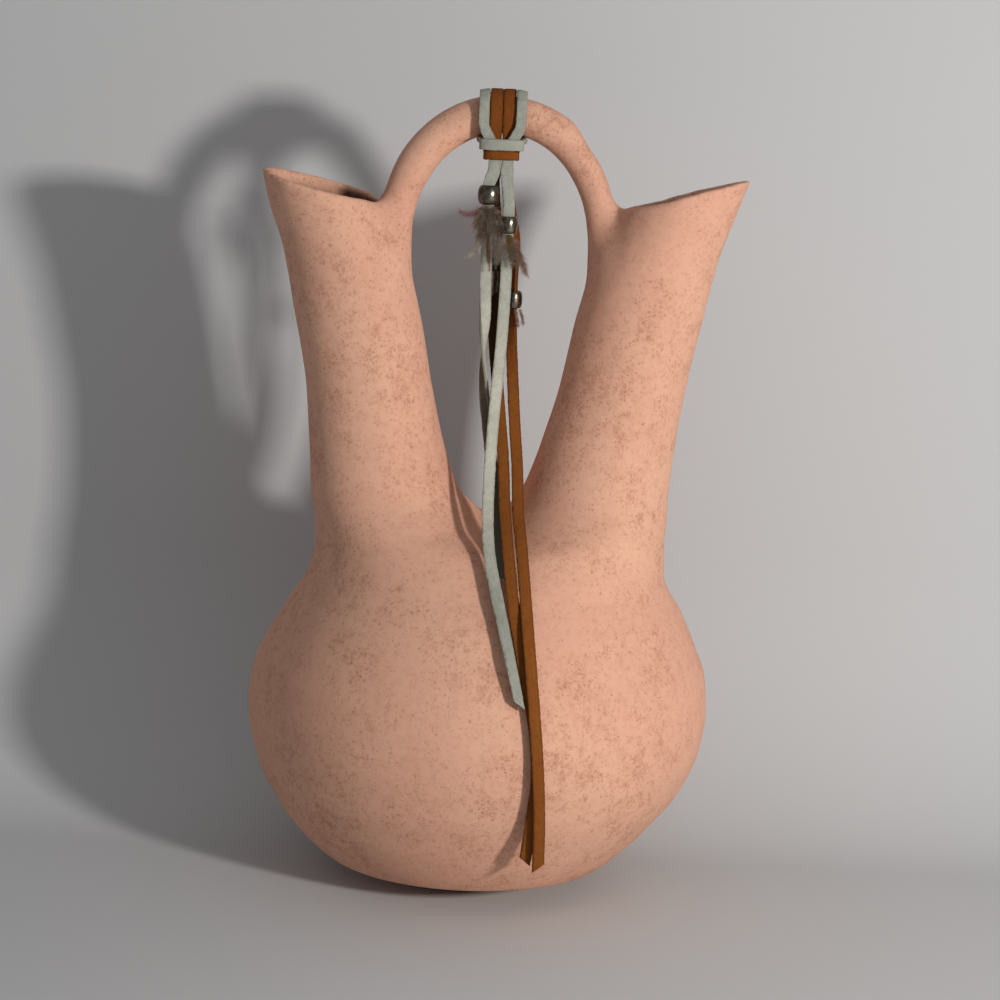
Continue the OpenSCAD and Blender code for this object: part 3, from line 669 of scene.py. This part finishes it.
tuftSet = {
    "seed": 41, "drop": 0.3, "top": -0.02, "sides": 3, "taper": 0.8, "fullness": 1.6, "fluff": 1.2,
    # strands: how far root, middle and tip stray, and how they curl
    "steps": 7, "thick": 0.062, "stray": (0.3, 0.45, 0.7), "wave": 0.5, "waveScale": 2.6,
    # barbs: how many for a strand, how they leave the stem, curl and sag
    "barbs": 16, "barbSteps": 4, "barbThick": 0.05, "barbReach": 1.9, "barbStray": 0.35, "barbAhead": 0.6,
    "barbCurl": 0.35, "curlScale": 1.9, "barbSag": 0.2,
    # streaks of tint and of light along a plume
    "streakScale": 0.8, "streakNoise": 0.25, "lightScale": 1.3, "lightRange": 0.9,
    "tints": {
        "mixed": [
            (0.09, 0.055, 0.035), (0.24, 0.145, 0.095), (0.34, 0.23, 0.17), (0.16, 0.10, 0.065),
            (0.46, 0.37, 0.28), (0.62, 0.55, 0.45),
        ],
        "mauve": [(0.46, 0.28, 0.28), (0.52, 0.35, 0.34), (0.36, 0.20, 0.20)],
        "cream": [(0.58, 0.53, 0.42), (0.50, 0.45, 0.36), (0.62, 0.56, 0.48)],
        "pale": [(0.30, 0.23, 0.19), (0.46, 0.40, 0.35), (0.40, 0.31, 0.26), (0.62, 0.57, 0.50)],
        "dark": [(0.10, 0.075, 0.04), (0.16, 0.11, 0.06)],
        "red": [(0.36, 0.13, 0.09), (0.44, 0.19, 0.14)],
        "ochre": [(0.34, 0.24, 0.06), (0.42, 0.30, 0.10), (0.24, 0.16, 0.04)],
        "rosy": [(0.42, 0.26, 0.19), (0.50, 0.34, 0.27), (0.30, 0.17, 0.11), (0.55, 0.40, 0.34)],
    },
    "plumes": {
        # root, middle and tip below the bead, strand count, spread at the tip, tint
        "sageLeft": [
            ((-1.9, -2.0, -0.8), (-6.0, -3.8, -5.2), (-10.8, -4.6, -2.0), 34, 1.0, "mauve"),
            ((-1.4, -2.4, -0.6), (-3.2, -4.0, -4.5), (-4.6, -4.4, -7.5), 30, 1.5, "rosy"),
            ((-0.5, -2.8, -0.4), (-1.0, -4.3, -5), (-1.6, -4.3, -11), 90, 2.2, "mixed"),
            ((1.6, -2.4, -0.6), (3.4, -4.2, -4), (4.6, -4.4, -9), 44, 1.7, "mixed"),
            ((0.9, -2.8, -0.3), (2.4, -4.6, -9), (3.6, -4.6, -18), 46, 1.5, "pale"),
            ((-1.0, -2.8, -1.5), (-2.4, -4.2, -10), (-3.4, -3.8, -17), 28, 1.2, "cream"),
            ((0.0, -3.2, -7), (0.1, -3.9, -14), (0.6, -3.6, -21), 14, 0.5, "dark"),
            ((0.6, -3.4, -12), (0.8, -3.8, -19), (1.4, -3.4, -24), 16, 0.45, "red"),
            ((-2.4, -3.8, -15), (-5.0, -4.2, -18.5), (-8.4, -4.4, -19.4), 9, 0.7, "cream"),
        ],
        "sageRight": [
            ((0.3, -2.8, 0), (0.8, -3.6, -2.4), (1.3, -3.9, -5.2), 34, 0.9, "ochre"),
            ((1.3, -2.7, -0.8), (4.2, -4.0, -6.5), (7.4, -4.4, -14.2), 46, 1.3, "rosy"),
            ((1.7, -2.5, -2), (5.0, -3.9, -8), (7.9, -4.3, -15.4), 10, 0.6, "dark"),
            ((-1.2, -2.7, 0), (-2.8, -4.2, -4.5), (-3.6, -4.0, -9.5), 46, 1.4, "pale"),
            ((0.2, -2.9, -1), (0.8, -4.2, -6), (2.4, -4.3, -11), 30, 1.4, "mixed"),
        ],
        "rustLeft": [
            ((-1.0, -2.4, 0), (-1.2, -2.7, -4), (-1.2, -2.6, -8.5), 22, 0.6, "pale"),
            ((1.0, -2.4, 0), (1.2, -2.7, -4), (0.8, -2.6, -7.5), 18, 0.6, "mixed"),
        ],
        "rustRight": [
            ((1.0, -2.7, 0), (1.9, -3.3, -3.4), (2.3, -3.3, -6.4), 14, 0.6, "rosy"),
            ((2.7, -1.0, 0), (3.8, -1.4, -3), (4.2, -1.4, -6), 12, 0.6, "rosy"),
        ],
    },
}


def down():
    make = Finish("featherDown")
    tint = make.attribute("strandTint", "Color")
    patch = make.patches(600, 0.3, 0.7)
    color = make.layer(tint, patch, 0.35, make.scaled(tint, 0.6, 0.55, 0.5))
    make.shader.inputs["Specular IOR Level"].default_value = 0.25
    return make.finish(color, 0.8)


def addStrand(hair, line, thick, tint):
    # one tapering strand along a line in millimetres
    sides, steps = tuftSet["sides"], len(line) - 1
    spots, quads, tints = hair
    first = len(spots)
    for i, point in enumerate(line):
        along = tangentAt(line, i)
        side = squareTo(along, Vector((0.3, -1, 0.2)))
        other = along.cross(side)
        girth = thick * (1 - tuftSet["taper"] * i / steps)
        for k in range(sides):
            turn = 2 * math.pi * k / sides
            spots.append((point + (side * math.cos(turn) + other * math.sin(turn)) * girth) * mm)
            tints.append((tint.x, tint.y, tint.z, 1))
    for i in range(steps):
        for k in range(sides):
            n = (k + 1) % sides
            base = first + i * sides
            quads.append((base + k, base + n, base + sides + n, base + sides + k))
    quads.append(tuple(first + k for k in reversed(range(sides))))
    quads.append(tuple(first + steps * sides + k for k in range(sides)))


def bowed(a, b, c, share):
    return a * (1 - share) ** 2 + b * 2 * share * (1 - share) + c * share * share


def loose(draw, deep, tall):
    # a random step, less deep than wide
    return Vector((draw.gauss(0, 1), draw.gauss(0, deep), draw.gauss(0, tall)))


def addStrands(hair, root, plume, spread, choices, draw):
    # long strands from the root of a plume towards its tip
    start, middle, tip = (Vector(spot) for spot in plume[:3])
    nearStray, midStray, farStray = tuftSet["stray"]
    for strand in range(round(plume[3] * tuftSet["fullness"])):
        jitter = [loose(draw, 0.5, 1) for i in range(3)]
        reach = draw.uniform(0.6, 1.0)
        a = start + jitter[0] * nearStray
        b = start.lerp(middle, reach) + jitter[1] * spread * midStray
        c = middle.lerp(tip, 2 * reach - 1) + jitter[2] * spread * farStray
        a.z, b.z, c.z = (min(v.z, tuftSet["top"]) for v in (a, b, c))
        line = []
        for i in range(tuftSet["steps"] + 1):
            share = i / tuftSet["steps"]
            curl = noise.noise_vector(Vector((share * tuftSet["waveScale"], strand * 1.7, plume[0][0] * 3)))
            line.append(root + bowed(a, b, c, share) + curl * (tuftSet["wave"] * share))
        addStrand(hair, line, tuftSet["thick"], draw.choice(choices) * draw.uniform(0.75, 1.2))


def addBarbs(hair, root, plume, spread, choices, draw):
    # short fine barbs all along a plume, in streaks of its tints
    start, middle, tip = (Vector(spot) for spot in plume[:3])
    ahead = (tip - start).normalized() * tuftSet["barbAhead"]
    for barb in range(round(plume[3] * tuftSet["barbs"])):
        share = draw.uniform(0.05, 1.0)
        stem = bowed(start, middle, tip, share) + loose(draw, 0.4, 0.7) * (spread * tuftSet["barbStray"])
        aim = Vector((draw.gauss(0, 1), -abs(draw.gauss(0, 0.5)), draw.gauss(0, 1))).normalized() + ahead
        reach = spread * tuftSet["barbReach"] * draw.uniform(0.4, 1.0) * (1 - 0.4 * share)
        line = []
        for i in range(tuftSet["barbSteps"] + 1):
            part = i / tuftSet["barbSteps"]
            curl = noise.noise_vector(Vector((part * tuftSet["curlScale"], barb * 1.3, plume[0][0] * 2 + 9)))
            spot = stem + aim * (reach * part) + curl * (tuftSet["barbCurl"] * reach * part)
            spot.z = min(spot.z - tuftSet["barbSag"] * reach * part * part, tuftSet["top"])
            line.append(root + spot)
        streak = noise.noise(stem * tuftSet["streakScale"] + Vector((plume[0][0] * 5, 0, 3)))
        streak += tuftSet["streakNoise"] * draw.gauss(0, 1)
        tint = choices[min(len(choices) - 1, int(len(choices) * ramp(streak, -0.5, 0.5)))]
        light = noise.noise(stem * tuftSet["lightScale"] + Vector((7, plume[0][0], 1)))
        light = (1 + tuftSet["lightRange"] * light) * draw.uniform(0.55, 1.2)
        addStrand(hair, line, tuftSet["barbThick"], tint * light)


def addTuft(name, key, body, node, finish, draw):
    place, radius, height = beadSet[key]
    root = Vector(place) - Vector((0, 0, height / 2 + tuftSet["drop"]))
    hair = [], [], []
    for plume in tuftSet["plumes"][key]:
        spread = plume[4] * tuftSet["fluff"]
        choices = [Vector(tint) for tint in tuftSet["tints"][plume[5]]]
        addStrands(hair, root, plume, spread, choices, draw)
        addBarbs(hair, root, plume, spread, choices, draw)
    spots, quads, tints = hair
    tuft = meshPiece(name, spots, quads)
    layer = tuft.data.attributes.new("strandTint", "FLOAT_COLOR", "POINT")
    layer.data.foreach_set("color", [value for tint in tints for value in tint])
    closeNormals(tuft)
    smoothShade(tuft, 80)
    dress(tuft, finish, "feather", body, node)
    return tuft


featherDown = down()
draw = random.Random(tuftSet["seed"])
for key, (body, node) in beadNames.items():
    addTuft(key + "Tuft", key, body, node.replace("bead", "tuft"), featherDown, draw)
print("tufts combed")


# clay: the potter's four pieces run into one skin, seams worked smooth

claySet = {
    "nodes": ["bowl", "left_spout", "right_spout", "stirrup_handle"], "voxel": 0.0009, "faces": 190000,
    "seamPasses": 220, "lightPasses": 30, "lipKeep": 0.75,
    # swells of the wall: how deep, how wide, and the height that they start from
    "unevenness": 0.0003, "swells": ((28, 1.0), (60, 0.4)), "swellFrom": 0.004,
    # seams that are worked over: height and reach, or place and reach
    "shoulder": (124, 22), "crotch": ((1.8, 142), 26), "root": ((40, 247), 22), "rootMiddle": 1.5,
    "seamGain": 1.6,
    # the mouths' rims as planes, in millimetres
    "shift": 1.8, "mouthX": 68.5, "mouthR": 24.5, "mouthZ": 267.6, "slope": 12.5,
    # front dip and drop of the left and the right rim
    "left": (1.0, 1.0), "right": (-1.2, 0.0),
    # middle of a spout at some heights
    "axis": [(120, 34), (141, 34), (165, 43), (194, 48.5), (218, 53), (240, 58), (256, 64), (268, 68.5)],
    # how far the hand-built body stands to the right, by height
    "lean": [
        (0, -1.6), (10, -1.8), (18, -2.3), (27, -2.2), (38, -1.1), (55, -0.2), (70, 0), (92, 0.6), (112, 1.6),
        (127, 1.3), (141, 0.2), (153, -0.5), (172, -0.4), (192, 0), (330, 0),
    ],
    # how far its wall stands inside the plan, by height
    "squeeze": [
        (0, 3.4), (6, 2.0), (12, 1.5), (21, 1.8), (31, 1.7), (45, 0.7), (60, 0.1), (70, 0), (84, 0.3),
        (94, 1.5), (103, 1.8), (111, 1.0), (118, 0.4), (128, 0), (330, 0),
    ],
    "squeezeFrom": (12, 40),  # radii over which the squeeze sets in
    # rounded foot: flat inside a radius, then rising by the square, then straight
    "footR": 18, "footRise": 0.0095, "footBend": 18, "footTop": 14,
    # a lip: its depth under the rim, and where it starts beside the handle
    "lipDepth": (-6, -3), "lipFrom": (46.5, 51),
    # how far the right rim stands over its plane, by the distance from the middle, and how it tips back
    "rimLift": [(46, 0), (52, -0.7), (60, -0.6), (68, 0.3), (76, 1.0), (92, 1.7)], "rimTip": 0.4,
    # where that sets in, by depth and by the distance from the middle
    "rimDepth": (-28, -4), "rimFrom": (42, 50),
    # the left mouth's tip is pulled in: how far, and where that sets in
    "tipPull": 2.2, "tipDepth": (-14, 0), "tipFrom": (80, 93),
    # painted shade inside the spouts and bowl: depth under the rim, and depth and distance from the middle in
    # the nook beside the handle
    "insideR": 24, "darkDepth": (1.5, 7), "nookDepth": (0.3, 2.2), "nookFrom": (60, 67),
    # pads of clay where the handle's legs run into the spouts: place, radii, and the bore they keep out of
    "pads": [((47, 0, 238), (14, 18, 22)), ((45.8, 0, 257.5), (6, 8, 5.5))], "padBore": 22.2,
    # the right leg of the handle is drawn thinner on its outer side: place, reach, side and depth
    "legPlace": (41, 0, 278), "legReach": 21, "legSide": (0.75, 0, 0.66), "legDepth": 2.3,
}


def byTable(table, value):
    # smooth steps between the rows of a table
    for (low, a), (high, b) in zip(table, table[1:]):
        if value <= high:
            share = ramp(value, low, high)
            return a + (b - a) * share * share * (3 - 2 * share)
    return table[-1][1]


def overRim(spot):
    # height of a point over its mouth's rim plane, and its distance from the middle
    side = spot.x - claySet["shift"]
    dip, drop = claySet["right"] if side > 0 else claySet["left"]
    side = abs(side)
    lean = math.tan(math.radians(claySet["slope"])) * (side - claySet["mouthX"])
    return spot.z - claySet["mouthZ"] - lean - dip * spot.y / claySet["mouthR"] + drop, side


def seamShare(spot):
    # 1 where a seam is worked over, 0 on lips and plain walls
    height, reach = claySet["shoulder"]
    shoulder = max(0, 1 - abs(spot.z - height) / reach)
    (x, z), reach = claySet["crotch"]
    crotch = max(0, 1 - Vector((spot.x - x, spot.y * 0.5, spot.z - z)).length / reach)
    (x, z), reach = claySet["root"]
    side = abs(spot.x - claySet["rootMiddle"])
    root = max(0, 1 - Vector((side - x, spot.y, 0.7 * (spot.z - z))).length / reach)
    return min(1, claySet["seamGain"] * max(shoulder, crotch, root)) * (1 - lipShare(spot))


def lipShare(spot):
    # 1 on a lip, 0 below it and where the handle runs in
    over, side = overRim(spot)
    return ramp(over, *claySet["lipDepth"]) * ramp(side, *claySet["lipFrom"])


def handBuilt(spot, normal):
    # small departures of the hand-built body from its plan, in millimetres
    across = spot.xy.length
    if across > claySet["squeezeFrom"][0]:
        squeeze = byTable(claySet["squeeze"], spot.z) * ramp(across, *claySet["squeezeFrom"])
        spot.xy *= 1 - squeeze / across
    spot.x += byTable(claySet["lean"], spot.z)
    beyond = max(0, across - claySet["footR"])
    if spot.z < claySet["footTop"] and normal.z < 0.3:  # not the floor inside
        bend = min(beyond, claySet["footBend"])
        spot.z = max(spot.z, claySet["footRise"] * bend * (2 * beyond - bend))
    over, side = overRim(spot)
    near = ramp(over, *claySet["rimDepth"]) * ramp(side, *claySet["rimFrom"])
    if near > 0 and spot.x > 0:
        spot.z += near * (byTable(claySet["rimLift"], side) + claySet["rimTip"] * spot.y / claySet["mouthR"])
    elif near > 0:
        spot.x += claySet["tipPull"] * ramp(over, *claySet["tipDepth"]) * ramp(side, *claySet["tipFrom"])
    near = 1 - (spot - Vector(claySet["legPlace"])).length / claySet["legReach"]
    if near > 0:
        outer = max(0, normal.dot(Vector(claySet["legSide"])))
        spot -= Vector(claySet["legSide"]) * (claySet["legDepth"] * outer * min(1, 2 * near))
    return spot


def innerShadeShare(spot, normal):
    # painted shade: 1 well inside the vase, and in a nook just under the rim beside the handle, 0 outside and
    # on the lips
    if spot.z > claySet["axis"][0][0]:
        middle = byTable(claySet["axis"], spot.z)
        over, side = overRim(spot)
        out = Vector((math.copysign(1, spot.x - claySet["shift"]) * (side - middle), spot.y))
        nook = ramp(-over, *claySet["nookDepth"]) * (1 - ramp(side, *claySet["nookFrom"]))
        deep = max(nook, ramp(-over, *claySet["darkDepth"])) if out.length < claySet["insideR"] else 0.0
    else:
        out, deep = Vector((spot.x, spot.y)), 1.0
    return deep if out.dot(normal.xy) < 0 else 0.0


def addPad(side, place, radii):
    # one pad, kept out of the spout's bore
    deselectAll()
    bpy.ops.mesh.primitive_uv_sphere_add(segments=48, ring_count=32, radius=1, location=(0, 0, 0))
    pad = bpy.context.object
    spots = []
    for vertex in pad.data.vertices:
        spot = Vector(place) + Vector(radii) * vertex.co
        middle = byTable(claySet["axis"], spot.z)
        out = Vector((spot.x - middle, spot.y))
        if out.length < claySet["padBore"]:
            out = claySet["padBore"] * (out if out.x < 0 else Vector((-0.01, out.y))).normalized()
        drop = claySet["left"][1] if side < 0 else 0
        spots += [(claySet["shift"] + side * (middle + out.x)) * mm, out.y * mm, (spot.z - drop) * mm]
    pad.data.vertices.foreach_set("co", spots)
    closeNormals(pad)
    return pad


def clayBody():
    pads = [addPad(side, *pad) for side in (-1, 1) for pad in claySet["pads"]]
    deselectAll()
    for node in claySet["nodes"]:
        frame["nodes"][node].select_set(True)
    bpy.context.view_layer.objects.active = frame["nodes"]["bowl"]
    bpy.ops.object.duplicate()
    for pad in pads:
        pad.select_set(True)
    bpy.ops.object.join()
    clay = bpy.context.object
    bpy.ops.object.parent_clear(type="CLEAR_KEEP_TRANSFORM")
    clay.name = clay.data.name = "clayVase"
    bpy.ops.object.mode_set(mode="EDIT")
    bpy.ops.mesh.select_all(action="SELECT")
    bpy.ops.mesh.remove_doubles(threshold=0.00001)
    bpy.ops.object.mode_set(mode="OBJECT")
    skin = clay.modifiers.new("oneSkin", "REMESH")
    skin.mode = "VOXEL"
    skin.voxel_size = claySet["voxel"]
    bpy.ops.object.modifier_apply(modifier=skin.name)
    seams = clay.vertex_groups.new(name="seams")
    walls = clay.vertex_groups.new(name="walls")
    for vertex in clay.data.vertices:
        spot = vertex.co / mm
        seams.add([vertex.index], seamShare(spot), "REPLACE")
        walls.add([vertex.index], 1 - claySet["lipKeep"] * lipShare(spot), "REPLACE")
    for group, passes in ((seams, claySet["seamPasses"]), (walls, claySet["lightPasses"])):
        soft = clay.modifiers.new("soften", "SMOOTH")
        soft.factor = 0.5
        soft.iterations = passes
        soft.vertex_group = group.name
        bpy.ops.object.modifier_apply(modifier=soft.name)
    normals = [vertex.normal.copy() for vertex in clay.data.vertices]
    spots = [vertex.co.copy() for vertex in clay.data.vertices]
    for i, spot in enumerate(spots):
        swell = sum(share * noise.noise(spot * scale) for scale, share in claySet["swells"])
        if spot.z > claySet["swellFrom"]:
            spot = spot + normals[i] * (claySet["unevenness"] * swell * (1 - lipShare(spot / mm)))
        spot.z = max(0.0, spot.z)
        spots[i] = handBuilt(spot / mm, normals[i]) * mm
    clay.data.vertices.foreach_set("co", [value for spot in spots for value in spot])
    clay.data.update()
    thin = clay.modifiers.new("thin", "DECIMATE")
    thin.ratio = min(1, claySet["faces"] / (2 * len(clay.data.polygons)))
    bpy.ops.object.modifier_apply(modifier=thin.name)
    clay.vertex_groups.clear()
    # painted shade inside the spouts and bowl, stored as the inside attribute
    inner = [innerShadeShare(vertex.co / mm, vertex.normal) for vertex in clay.data.vertices]
    clay.data.attributes.new("inside", "FLOAT", "POINT").data.foreach_set("value", inner)
    bpy.ops.object.shade_smooth()
    return clay


def bisque():
    make = Finish("speckledBisque")
    tone = make.patches(16, 0.35, 0.65)
    crowd = make.patches(30, 0.36, 0.66, 4.0)
    clump = make.patches(130, 0.38, 0.64, 4.0)
    color = make.mix(tone, (0.71, 0.385, 0.272, 1), (0.75, 0.428, 0.300, 1))
    crowd = make.sums("MULTIPLY_ADD", crowd, 0.85, 0.15)
    thick = make.sums("MULTIPLY", crowd, make.sums("MULTIPLY_ADD", clump, 0.8, 0.2))
    low = make.sums("MULTIPLY_ADD", thick, -0.16, 0.58)
    mottle = make.patches(330, 0.42, 0.66, 5.0)
    blots = make.patches(430, low, make.sums("ADD", low, 0.16), 5.0)
    spots = make.speckle(520, make.sums("MULTIPLY_ADD", thick, 0.7, 0.05))
    fines = make.speckle(800, make.sums("MULTIPLY_ADD", thick, 1.0, 0.12))
    dust = make.speckle(1250, make.sums("MULTIPLY_ADD", thick, 1.0, 0.15))
    pits = make.patches(1300, 0.70, 0.76, 2.0)
    color = make.layer(color, thick, 0.2, (0.52, 0.24, 0.15, 1))
    color = make.layer(color, mottle, 0.2, (0.52, 0.245, 0.16, 1))
    color = make.layer(color, blots, 0.32, (0.44, 0.185, 0.115, 1))
    color = make.layer(color, spots, 0.5, (0.40, 0.165, 0.10, 1))
    color = make.layer(color, fines, 0.55, (0.37, 0.15, 0.09, 1))
    color = make.layer(color, dust, 0.5, (0.36, 0.145, 0.09, 1))
    color = make.layer(color, pits, 0.5, (0.17, 0.08, 0.05, 1))
    # painted shade inside the spouts and bowl, reaching up near the rim beside the handle
    color = make.layer(color, make.attribute("inside"), 0.92, (0.07, 0.032, 0.02, 1))
    grain = make.rawNoise(1800, 4.0)
    make.shader.inputs["Specular IOR Level"].default_value = 0.15
    normal = make.bump(make.sums("SUBTRACT", grain, pits), 0.2, 0.0003)
    return make.finish(color, 0.85, normal)


clayVase = clayBody()
dress(clayVase, bisque(), "clay", "vase", *claySet["nodes"])
print("clay smoothed", len(clayVase.data.polygons))


# stage: pale floor that sweeps up behind, and a soft light

stageSet = {
    "half": 1.6, "front": -1.8, "back": 0.127, "radius": 0.105, "bends": 12, "top": 1.6,
    "tone": (0.57, 0.575, 0.585, 1), "fleck": (0.54, 0.54, 0.545, 1),
}


def addStage():
    bend = stageSet["radius"]
    line = [(stageSet["front"], 0), (stageSet["back"] - bend, 0)]
    for i in range(1, stageSet["bends"] + 1):
        angle = math.radians(90 * i / stageSet["bends"])
        line.append((stageSet["back"] - bend + bend * math.sin(angle), bend - bend * math.cos(angle)))
    line.append((stageSet["back"], stageSet["top"]))
    points = [(x, y, z) for y, z in line for x in (-stageSet["half"], stageSet["half"])]
    faces = [(2 * i, 2 * i + 1, 2 * i + 3, 2 * i + 2) for i in range(len(line) - 1)]
    sweep = meshPiece("paperSweep", points, faces)
    make = Finish("palePaper")
    make.shader.inputs["Specular IOR Level"].default_value = 0.1
    fleck = make.patches(60, 0.3, 0.7)
    color = make.layer(stageSet["tone"], fleck, 0.04, stageSet["fleck"])
    make.finish(color, 0.9)
    through = make.node("ShaderNodeBsdfTransparent")
    side = make.node("ShaderNodeNewGeometry")
    blend = make.node("ShaderNodeMixShader")
    out = make.tree.nodes["Material Output"]
    make.join(side.outputs["Backfacing"], blend.inputs[0])
    make.join(make.shader.outputs[0], blend.inputs[1])
    make.join(through.outputs[0], blend.inputs[2])
    make.join(blend.outputs[0], out.inputs["Surface"])
    sweep.data.materials.append(make.material)
    smoothShade(sweep, 60)


lightSet = {
    "place": (0.60, -0.80, 0.35), "aim": (0.0, 0.0, 0.18), "size": 0.08, "watts": 7.1,
    "tint": (1.0, 0.97, 0.93), "air": (0.86, 0.875, 0.89, 1), "airStrength": 0.33,
}


def addLights():
    place = Vector(lightSet["place"])
    deselectAll()
    bpy.ops.object.light_add(type="AREA", location=place)
    lamp = bpy.context.object
    lamp.name = "keyLight"
    lamp.rotation_euler = (Vector(lightSet["aim"]) - place).to_track_quat("-Z", "Y").to_euler()
    lamp.data.size = lightSet["size"]
    lamp.data.energy = lightSet["watts"]
    lamp.data.color = lightSet["tint"]
    world = bpy.data.worlds.new("studioAir")
    world.use_nodes = True
    air = world.node_tree.nodes["Background"]
    air.inputs["Color"].default_value = lightSet["air"]
    air.inputs["Strength"].default_value = lightSet["airStrength"]
    bpy.context.scene.world = world


addStage()
addLights()
bpy.context.scene.view_settings.view_transform = "Standard"
print("stage set")
